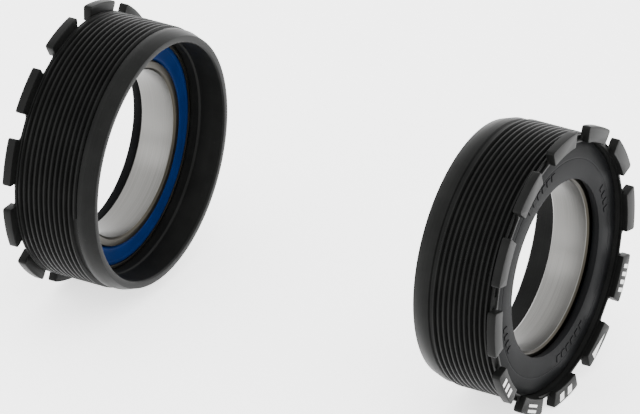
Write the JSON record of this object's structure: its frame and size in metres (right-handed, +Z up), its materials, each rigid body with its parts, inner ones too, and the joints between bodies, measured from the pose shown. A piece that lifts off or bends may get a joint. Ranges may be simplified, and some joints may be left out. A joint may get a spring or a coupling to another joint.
{
  "type": "bottom bracket",
  "caption": "Matched pair of threaded bottom bracket cups with press-fitted ball bearings, rubber seals, dust covers and notched lug rings, for a crank spindle.",
  "frame": {"origin": "on the spindle axis, midway between the two faces that seat on the frame's shell", "axes": "+Y along the spindle axis from the drive side to the non-drive side, +Z up"},
  "size_m": [0.0504, 0.0966, 0.0504],
  "materials": {
    "black_anodised_aluminium": "satin black anodised, turned",
    "moulded_black_plastic": "fine matt moulding",
    "bearing_steel": "ground satin",
    "polished_steel": "polished",
    "cage_steel": "pressed sheet",
    "blue_seal_rubber": "matt moulded rubber",
    "white_print": "pad-printed white ink",
    "seal_insert_steel": "plain sheet"
  },
  "bodies": {
    "drive_cup_body": {"drive_cup": "black_anodised_aluminium", "drive_dust_cover": "moulded_black_plastic", "drive_bearing_outer_ring": "bearing_steel", "drive_outboard_seal": "blue_seal_rubber", "drive_inboard_seal": "blue_seal_rubber", "drive_outboard_seal_insert": "seal_insert_steel", "drive_inboard_seal_insert": "seal_insert_steel"},
    "drive_inner_ring_body": {"drive_bearing_inner_ring": "bearing_steel"},
    "drive_ball_set_body": {"drive_bearing_balls": "polished_steel", "drive_cage_rivets": "cage_steel", "drive_outboard_cage_half": "cage_steel", "drive_inboard_cage_half": "cage_steel"},
    "non_drive_cup_body": {"non_drive_cup": "black_anodised_aluminium", "non_drive_dust_cover": "moulded_black_plastic", "non_drive_bearing_outer_ring": "bearing_steel", "non_drive_outboard_seal": "blue_seal_rubber", "non_drive_inboard_seal": "blue_seal_rubber", "non_drive_outboard_seal_insert": "seal_insert_steel", "non_drive_inboard_seal_insert": "seal_insert_steel"},
    "non_drive_inner_ring_body": {"non_drive_bearing_inner_ring": "bearing_steel"},
    "non_drive_ball_set_body": {"non_drive_bearing_balls": "polished_steel", "non_drive_cage_rivets": "cage_steel", "non_drive_outboard_cage_half": "cage_steel", "non_drive_inboard_cage_half": "cage_steel"}
  },
  "joints": [
    {"name": "shell_width_travel", "type": "slide", "parent": "drive_cup_body", "child": "non_drive_cup_body", "axis": [0, 1, 0], "range_m": [-0.0079, 0.0241]},
    {"name": "drive_spindle_spin", "type": "hinge", "parent": "drive_cup_body", "child": "drive_inner_ring_body", "pos_m": [0, -0.04105, 0], "axis": [0, 1, 0], "continuous": true},
    {"name": "drive_ball_orbit", "type": "hinge", "parent": "drive_cup_body", "child": "drive_ball_set_body", "pos_m": [0, -0.04105, 0], "axis": [0, 1, 0], "continuous": true},
    {"name": "non_drive_spindle_spin", "type": "hinge", "parent": "non_drive_cup_body", "child": "non_drive_inner_ring_body", "pos_m": [0, 0.04105, 0], "axis": [0, 1, 0], "continuous": true},
    {"name": "non_drive_ball_orbit", "type": "hinge", "parent": "non_drive_cup_body", "child": "non_drive_ball_set_body", "pos_m": [0, 0.04105, 0], "axis": [0, 1, 0], "continuous": true}
  ],
  "couplings": [
    {"joint": "drive_ball_orbit", "follows": "drive_spindle_spin", "ratio": 0.4559},
    {"joint": "non_drive_ball_orbit", "follows": "non_drive_spindle_spin", "ratio": 0.4559}
  ]
}
